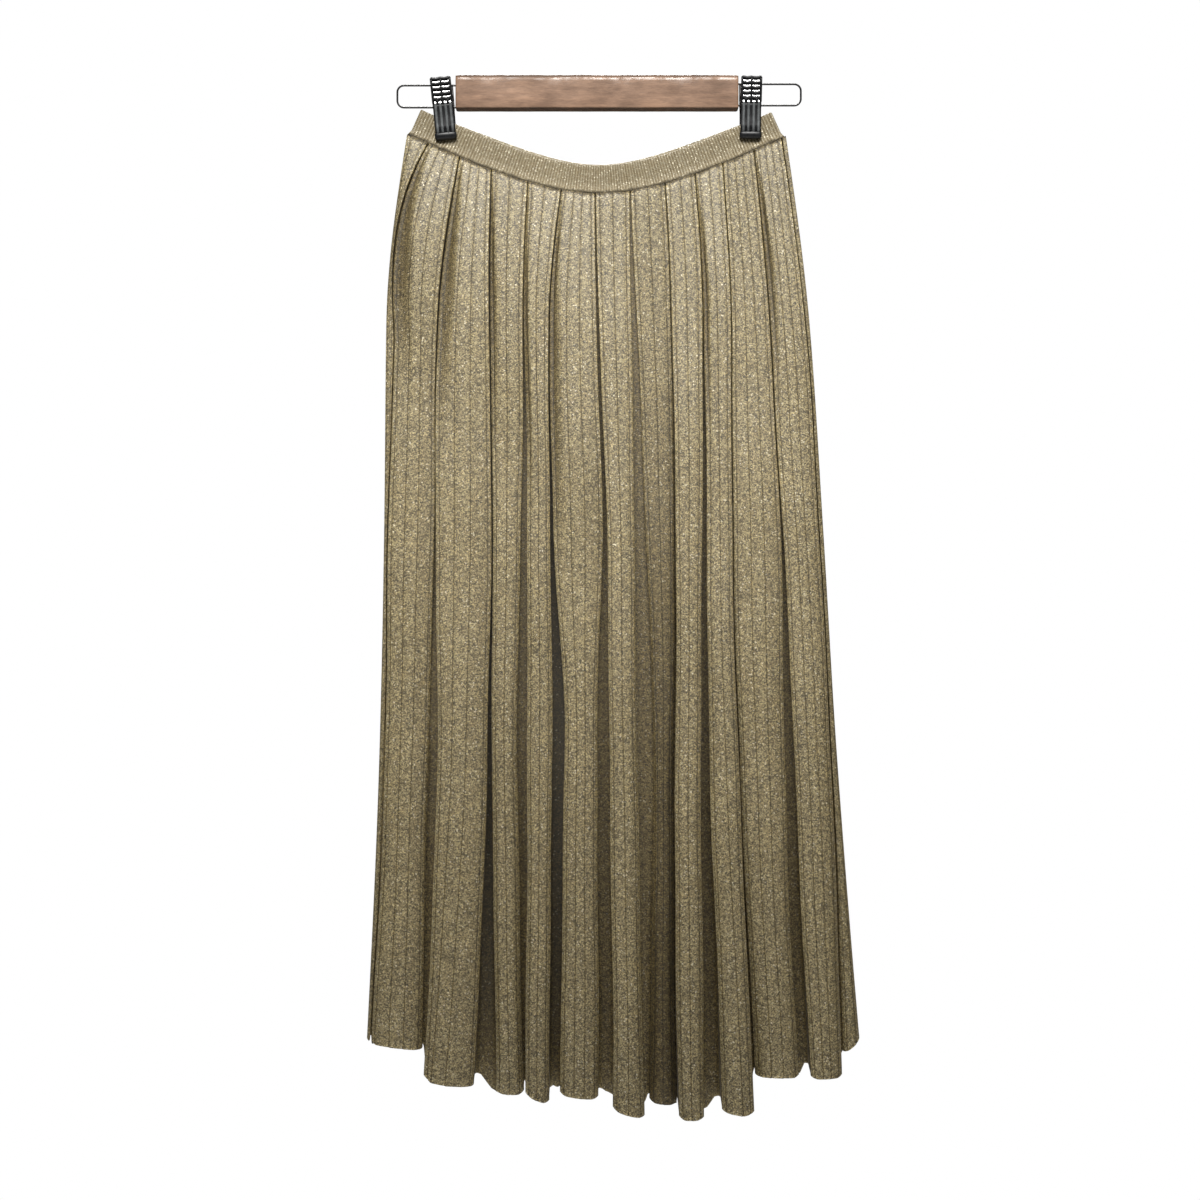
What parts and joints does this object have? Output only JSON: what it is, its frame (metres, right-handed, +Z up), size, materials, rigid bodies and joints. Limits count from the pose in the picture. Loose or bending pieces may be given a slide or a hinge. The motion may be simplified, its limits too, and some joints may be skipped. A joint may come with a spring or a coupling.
{
  "type": "pleated maxi skirt on clip hanger",
  "caption": "Long pleated knit skirt with a ribbed waistband, held flat by two clips on a wooden bar hanger with wire end loops.",
  "frame": {"origin": "middle of the top edge of the hanger's bar, where the hanger is held", "axes": "+Z up, the skirt's front looks along -Y, +X is on the right as the front is seen"},
  "size_m": [0.4425, 0.128, 0.921],
  "materials": {
    "skirt_knit": "fine jersey knit with gold metallic yarn",
    "rib_knit": "fine rib knit with gold metallic yarn",
    "hanger_wood": "satin varnish",
    "black_wire": "gloss black",
    "clip_plastic": "satin dark grey",
    "spring_steel": "bright"
  },
  "bodies": {
    "root": {"skirt_front": "skirt_knit", "skirt_back": "skirt_knit", "waistband": "rib_knit", "hanger_bar": "hanger_wood", "wire_loop_left": "black_wire", "wire_loop_right": "black_wire", "clip_left_front": "clip_plastic", "clip_left_back": "clip_plastic", "clip_left_spring": "spring_steel", "clip_right_front": "clip_plastic", "clip_right_back": "clip_plastic", "clip_right_spring": "spring_steel"}
  },
  "joints": []
}
